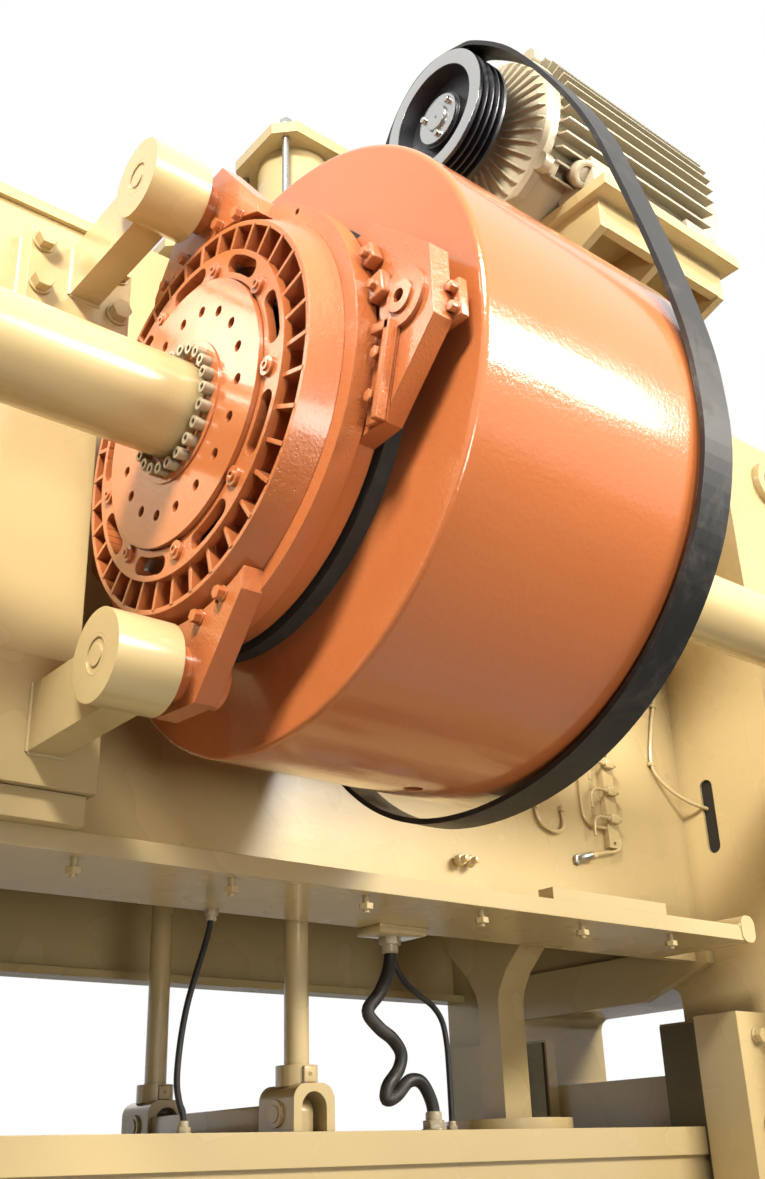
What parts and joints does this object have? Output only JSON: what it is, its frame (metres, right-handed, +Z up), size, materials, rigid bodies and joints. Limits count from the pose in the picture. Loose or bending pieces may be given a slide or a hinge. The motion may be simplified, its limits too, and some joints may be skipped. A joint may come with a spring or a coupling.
{
  "type": "mechanical stamping press",
  "caption": "Two-point straight-side mechanical press with a rear flywheel, clutch and brake, roof motor, belt drive, air counterbalance, guided slide and slotted bolster.",
  "frame": {"origin": "on the floor, under the centre of the press, on the bed's bottom plate", "axes": "+X to the right and along the cross shaft, +Y away from the flywheel towards the front of the press, +Z up"},
  "size_m": [5.162, 3.0914, 5.829],
  "materials": {
    "cream_enamel": "semi-gloss machine enamel",
    "orange_enamel": "glossy enamel",
    "motor_paint": "satin",
    "steel": "machined, lightly oiled",
    "sheave_iron": "dark with bright machined rim",
    "friction_lining": "matt composite lining",
    "bronze": "machined, oiled",
    "black_rubber": "matt"
  },
  "bodies": {
    "frame": {"bed": "cream_enamel", "bolster": "steel", "upright_left": "cream_enamel", "upright_right": "cream_enamel", "crown": "cream_enamel", "deck_plate": "cream_enamel", "deck_bolts": "cream_enamel", "rear_case": "cream_enamel", "rear_case_lid": "cream_enamel", "tie_rods": "steel", "tie_rod_nuts": "steel", "gibs": "cream_enamel", "gib_liners": "bronze", "gib_bolts": "cream_enamel", "balance_tubes": "cream_enamel", "balance_caps": "cream_enamel", "balance_tie_rods": "steel", "gear_case_left": "cream_enamel", "gear_case_right": "cream_enamel", "bearing_flanges": "cream_enamel", "clutch_housing": "orange_enamel", "housing_bolts": "orange_enamel", "brake_ring": "orange_enamel", "lug_ring": "orange_enamel", "lug_bushes": "orange_enamel", "lug_bolts": "orange_enamel", "torque_arm_upper": "cream_enamel", "torque_arm_lower": "cream_enamel", "torque_pins": "cream_enamel", "arm_bolts": "cream_enamel", "arm_stop_block": "cream_enamel", "motor_mount": "cream_enamel", "motor_frame": "motor_paint", "motor_shield": "motor_paint", "motor_fan_cover": "motor_paint", "drive_belt": "black_rubber", "lube_manifold": "cream_enamel", "control_cable": "black_rubber", "air_hose": "black_rubber"},
    "flywheel": {"flywheel": "orange_enamel", "friction_disc": "friction_lining", "flywheel_bearings": "steel", "flywheel_cover": "orange_enamel"},
    "drive": {"drive_shaft": "cream_enamel", "locking_ring": "orange_enamel", "locking_screws": "steel", "clutch_hub": "orange_enamel"},
    "motor_rotor": {"motor_shaft": "steel", "motor_sheave": "sheave_iron"},
    "slide": {"slide": "cream_enamel", "point_covers": "cream_enamel", "screw_forks": "steel", "wrist_pins": "steel", "balance_rods": "cream_enamel", "balance_pistons": "steel", "rod_feet": "cream_enamel", "foot_eyes": "cream_enamel", "foot_pins": "cream_enamel"},
    "pitman_left": {"pitman_left": "cream_enamel"},
    "pitman_right": {"pitman_right": "cream_enamel"}
  },
  "joints": [
    {"name": "flywheel_spin", "type": "hinge", "parent": "frame", "child": "flywheel", "pos_m": [-0.4, -1.375, 3.72], "axis": [1, 0, 0], "continuous": true},
    {"name": "motor_spin", "type": "hinge", "parent": "frame", "child": "motor_rotor", "pos_m": [0, -1.351, 5.193], "axis": [1, 0, 0], "continuous": true},
    {"name": "drive_spin", "type": "hinge", "parent": "frame", "child": "drive", "pos_m": [-1.2, -1.375, 3.72], "axis": [1, 0, 0], "continuous": true},
    {"name": "slide_stroke", "type": "slide", "parent": "frame", "child": "slide", "axis": [0, 0, 1], "range_m": [0, 0.3], "deforming": ["control_cable", "air_hose"]},
    {"name": "pitman_swing_left", "type": "hinge", "parent": "slide", "child": "pitman_left", "pos_m": [-1.22, 0, 2.14], "axis": [1, 0, 0], "range_deg": [-4, 4]},
    {"name": "pitman_swing_right", "type": "hinge", "parent": "slide", "child": "pitman_right", "pos_m": [1.22, 0, 2.14], "axis": [1, 0, 0], "range_deg": [-4, 4]}
  ],
  "couplings": [
    {"joint": "motor_spin", "follows": "flywheel_spin", "ratio": 3.4562},
    {"joint": "pitman_swing_right", "follows": "pitman_swing_left", "ratio": 1}
  ]
}
